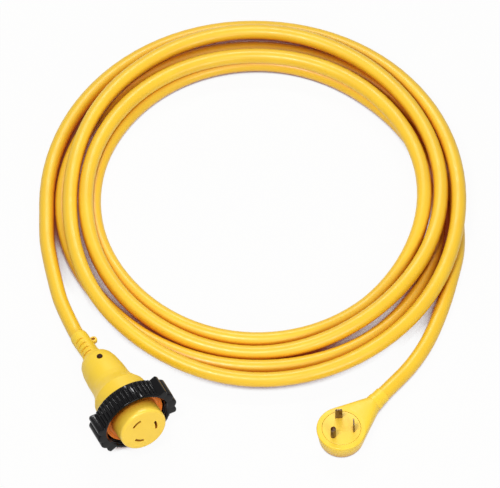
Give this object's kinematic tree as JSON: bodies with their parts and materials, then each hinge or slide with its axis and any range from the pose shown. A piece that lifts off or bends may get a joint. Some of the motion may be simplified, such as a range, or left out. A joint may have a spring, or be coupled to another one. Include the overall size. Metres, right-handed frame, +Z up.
{
  "type": "shore power cord",
  "caption": "Coiled yellow shore power cord with a threaded-ring locking connector at one end and a right-angle plug with two blades and a round pin at the other.",
  "frame": {"origin": "on the floor, under the middle of the connector's box as it rests on its ring", "axes": "+Z up; -Y along the connector towards its nose, which tilts up; +X towards the coil and plug"},
  "size_m": [0.5289, 0.5673, 0.0873],
  "materials": {
    "cable_jacket": "satin",
    "moulding": "satin",
    "ring_plastic": "gloss",
    "seal": "matte",
    "lens": "gloss",
    "lamp_glass": "gloss",
    "contact_brass": "satin",
    "prong_metal": "satin",
    "core_black": "matte",
    "core_white": "matte",
    "core_green": "matte"
  },
  "bodies": {
    "root": {"connector_body": "moulding", "neck_sleeve": "moulding", "connector_jacket": "cable_jacket", "socket_insert": "moulding", "face_seal": "seal", "indicator_lens": "lens", "indicator_lamp": "lamp_glass", "line_contact": "contact_brass", "neutral_contact": "contact_brass", "ground_contact": "contact_brass", "line_core": "core_black", "neutral_core": "core_white", "ground_core": "core_green", "cable_coil": "cable_jacket", "connector_lead": "cable_jacket", "plug_lead": "cable_jacket", "plug_body": "moulding", "plug_insert": "moulding", "plug_sleeve": "moulding", "plug_jacket": "cable_jacket", "line_blade": "prong_metal", "neutral_blade": "prong_metal", "ground_pin": "prong_metal", "plug_line_core": "core_black", "plug_neutral_core": "core_white", "plug_ground_core": "core_green"},
    "ring": {"locking_ring": "ring_plastic"}
  },
  "joints": [
    {"name": "ring_turn", "type": "hinge", "parent": "root", "child": "ring", "pos_m": [0, -0.05059, 0.04367], "axis": [0, -0.9945, 0.1045], "continuous": true}
  ]
}
